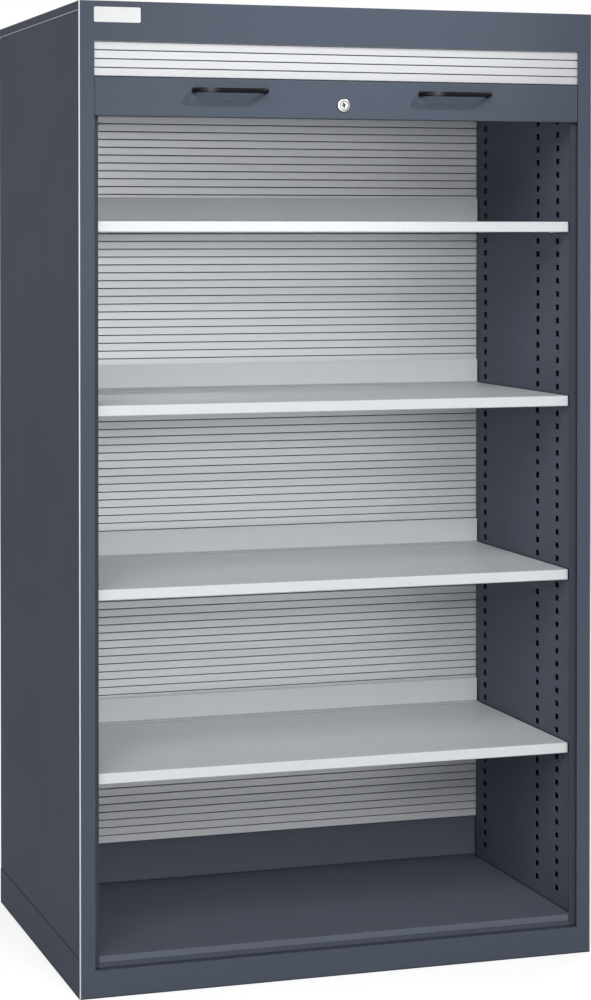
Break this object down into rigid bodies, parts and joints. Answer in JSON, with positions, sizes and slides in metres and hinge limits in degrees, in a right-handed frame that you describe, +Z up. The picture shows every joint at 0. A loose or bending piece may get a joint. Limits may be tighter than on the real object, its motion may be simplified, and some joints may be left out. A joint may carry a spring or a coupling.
{
  "type": "roll front tool cabinet",
  "caption": "Tall sheet-steel cabinet with a slatted roll front that slides up over the top, adjustable shelves with back stops, and a key lock in the end rail.",
  "frame": {"origin": "middle of the footprint, on the underside of the base", "axes": "+Z up, +X to the right seen from the front, +Y towards the back"},
  "size_m": [1.023, 0.752, 1.832],
  "materials": {
    "housing": "fine-textured satin powder coat",
    "interior": "satin powder coat",
    "slats": "satin anodised",
    "shelf": "smooth light grey powder coat",
    "black_plastic": "satin moulded nylon",
    "chrome": "polished",
    "zinc": "bright zinc plate",
    "label": "plain white, no print"
  },
  "bodies": {
    "cabinet": {"front_frame": "housing", "sill_channel": "housing", "top_cover": "housing", "base_plinth": "housing", "side_panel_left": "housing", "side_panel_right": "housing", "rear_panel": "housing", "inner_wall_left": "interior", "inner_wall_right": "interior", "inner_rear_panel": "interior", "floor_pan": "interior", "guide_front_left": "interior", "guide_front_right": "interior", "guide_front_bend_left": "interior", "guide_front_bend_right": "interior", "guide_top_left": "interior", "guide_top_right": "interior", "guide_rear_bend_left": "interior", "guide_rear_bend_right": "interior", "guide_rear_left": "interior", "guide_rear_right": "interior", "curtain_feed": "slats", "curtain_top": "slats", "curtain_rear": "slats", "shelf_1": "shelf", "shelf_2": "shelf", "shelf_3": "shelf", "shelf_4": "shelf", "shelf_back_stop_1": "shelf", "shelf_back_stop_2": "shelf", "shelf_back_stop_3": "shelf", "shelf_back_stop_4": "shelf", "rear_panel_screws": "zinc", "shelf_clips": "zinc", "label_plate": "label"},
    "shutter": {"end_rail": "housing", "end_rail_cap_left": "black_plastic", "end_rail_cap_right": "black_plastic", "handle_left": "black_plastic", "handle_right": "black_plastic", "handle_screws": "zinc", "lock_housing": "chrome", "lock_nut": "zinc", "shutter_slats": "slats"},
    "lock_core": {"lock_plug": "chrome", "lock_cam": "zinc", "cam_pins": "zinc"},
    "lock_bar_left": {"lock_rod_left": "zinc"},
    "lock_bar_right": {"lock_rod_right": "zinc"}
  },
  "joints": [
    {"name": "shutter_travel", "type": "slide", "parent": "cabinet", "child": "shutter", "axis": [0, 0, -1], "range_m": [0, 1.571], "deforming": ["curtain_feed", "curtain_rear"]},
    {"name": "key_turn", "type": "hinge", "parent": "shutter", "child": "lock_core", "pos_m": [0, -0.3625, 1.6475], "axis": [0, 1, 0], "range_deg": [0, 90]},
    {"name": "bar_left_slide", "type": "slide", "parent": "shutter", "child": "lock_bar_left", "axis": [-1, 0, 0], "range_m": [0, 0.01274]},
    {"name": "bar_right_slide", "type": "slide", "parent": "shutter", "child": "lock_bar_right", "axis": [1, 0, 0], "range_m": [0, 0.01272]}
  ],
  "couplings": [
    {"joint": "bar_left_slide", "follows": "bar_right_slide", "ratio": 1},
    {"joint": "key_turn", "follows": "bar_right_slide", "rad_per_m": 123.41}
  ]
}
